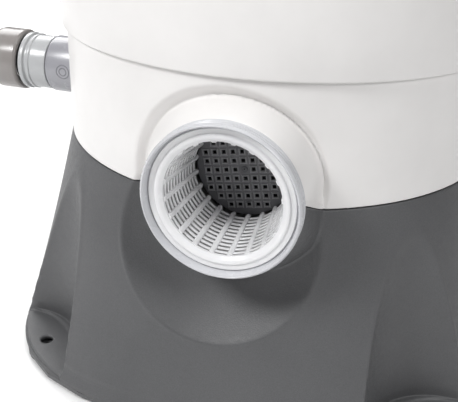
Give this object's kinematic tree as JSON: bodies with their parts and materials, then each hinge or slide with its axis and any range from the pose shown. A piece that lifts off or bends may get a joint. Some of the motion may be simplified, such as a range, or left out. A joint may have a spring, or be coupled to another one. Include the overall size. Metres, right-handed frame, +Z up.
{
  "type": "pool filter pump",
  "caption": "Above-ground pool filter pump: a round tank on a flared base that houses the pump, with an open strainer mouth in front and hose ports at the sides.",
  "frame": {"origin": "on the tank's axis at floor level, the middle of the underside", "axes": "+Z up along the tank's axis, -Y towards the strainer mouth (front), +X towards the outlet hose port"},
  "size_m": [0.48, 0.3656, 0.533],
  "materials": {
    "white_shell": "satin white moulded shell",
    "grey_base": "fine matt texture, dark grey",
    "collar_grey": "satin pale lavender grey",
    "basket_clear": "translucent whitish moulding",
    "screen_grey": "dark grey moulding",
    "port_grey": "satin mid grey",
    "adapter_light": "satin light silvery grey",
    "nut_brown_grey": "glossy brownish grey",
    "rubber_black": "matt black rubber",
    "pipe_grey": "plain grey pipe",
    "pump_black": "black glass-filled plastic",
    "impeller_plastic": "natural engineering plastic",
    "steel": "brushed stainless steel",
    "aluminium_case": "cast aluminium",
    "copper_lamination": "varnished windings and laminations",
    "dial_white": "matt white enamel",
    "needle_red": "red moulding",
    "lens_clear": "clear polished lens",
    "knob_blue": "blue moulding",
    "filter_paper": "pleated polyester filter paper",
    "cartridge_cap": "blue moulded end cap"
  },
  "bodies": {
    "housing": {"base_shell": "grey_base", "base_plate": "grey_base", "tank_skirt": "white_shell", "tank_body": "white_shell", "strainer_housing": "collar_grey", "inlet_pipe": "pipe_grey", "outlet_pipe": "pipe_grey", "riser_pipe": "pipe_grey", "suction_elbow": "pump_black", "volute": "pump_black", "seal_plate": "pump_black", "shaft_seal": "rubber_black", "motor_shell": "aluminium_case", "stator": "copper_lamination", "bearing_front": "steel", "bearing_carrier_front": "aluminium_case", "bearing_rear": "steel", "bearing_carrier_rear": "aluminium_case", "fan_cover": "pump_black", "capacitor": "pump_black", "switch_box": "pump_black", "cable_gland": "rubber_black", "lid_oring": "rubber_black", "lid": "white_shell", "gauge_case": "steel", "gauge_dial": "dial_white", "gauge_lens": "lens_clear", "air_valve_body": "port_grey", "cartridge_core": "cartridge_cap", "cartridge_media": "filter_paper", "cartridge_cap_bottom": "cartridge_cap", "cartridge_cap_top": "cartridge_cap", "foot_pad_front_right": "rubber_black", "foot_pad_rear_right": "rubber_black", "foot_pad_rear_left": "rubber_black", "foot_pad_front_left": "rubber_black", "port_left_sleeve": "port_grey", "port_left_adapter": "adapter_light", "port_left_oring": "rubber_black", "port_right_sleeve": "port_grey", "port_right_adapter": "adapter_light", "port_right_oring": "rubber_black"},
    "pump_rotor": {"impeller": "impeller_plastic", "rotor": "steel", "motor_shaft": "steel", "fan": "pump_black"},
    "strainer": {"strainer_basket": "basket_clear", "strainer_screen": "screen_grey"},
    "lock_ring": {"lock_ring": "grey_base"},
    "port_left_nut": {"port_left_nut": "nut_brown_grey"},
    "port_right_nut": {"port_right_nut": "nut_brown_grey"},
    "gauge_needle": {"gauge_needle": "needle_red"},
    "air_valve_knob": {"air_valve_knob": "knob_blue"},
    "rocker": {"rocker": "needle_red"},
    "drain_plug": {"drain_plug": "pump_black"}
  },
  "joints": [
    {"name": "pump_spin", "type": "hinge", "parent": "housing", "child": "pump_rotor", "pos_m": [0.01023, 0, 0.093], "axis": [0, 1, 0], "continuous": true},
    {"name": "strainer_pull", "type": "slide", "parent": "housing", "child": "strainer", "axis": [0, -1, 0], "range_m": [0, 0.08]},
    {"name": "lock_ring_turn", "type": "hinge", "parent": "housing", "child": "lock_ring", "pos_m": [0, 0, 0.43], "axis": [0, 0, 1], "range_deg": [0, 45]},
    {"name": "port_left_nut_turn", "type": "hinge", "parent": "housing", "child": "port_left_nut", "pos_m": [-0.227, 0, 0.1835], "axis": [-1, 0, 0], "continuous": true},
    {"name": "port_right_nut_turn", "type": "hinge", "parent": "housing", "child": "port_right_nut", "pos_m": [0.227, 0, 0.1835], "axis": [1, 0, 0], "continuous": true},
    {"name": "gauge_needle_turn", "type": "hinge", "parent": "housing", "child": "gauge_needle", "pos_m": [-0.036, 0, 0.508], "axis": [0, 1, 0], "range_deg": [0, 270]},
    {"name": "air_valve_turn", "type": "hinge", "parent": "housing", "child": "air_valve_knob", "pos_m": [0.04, 0, 0.488], "axis": [0, 0, 1], "range_deg": [0, 360]},
    {"name": "rocker_press", "type": "hinge", "parent": "housing", "child": "rocker", "pos_m": [-0.012, 0.176, 0.101], "axis": [1, 0, 0], "range_deg": [0, 16]},
    {"name": "drain_plug_turn", "type": "hinge", "parent": "housing", "child": "drain_plug", "pos_m": [0.165, 0.06, 0.045], "axis": [1, 0, 0], "continuous": true}
  ]
}
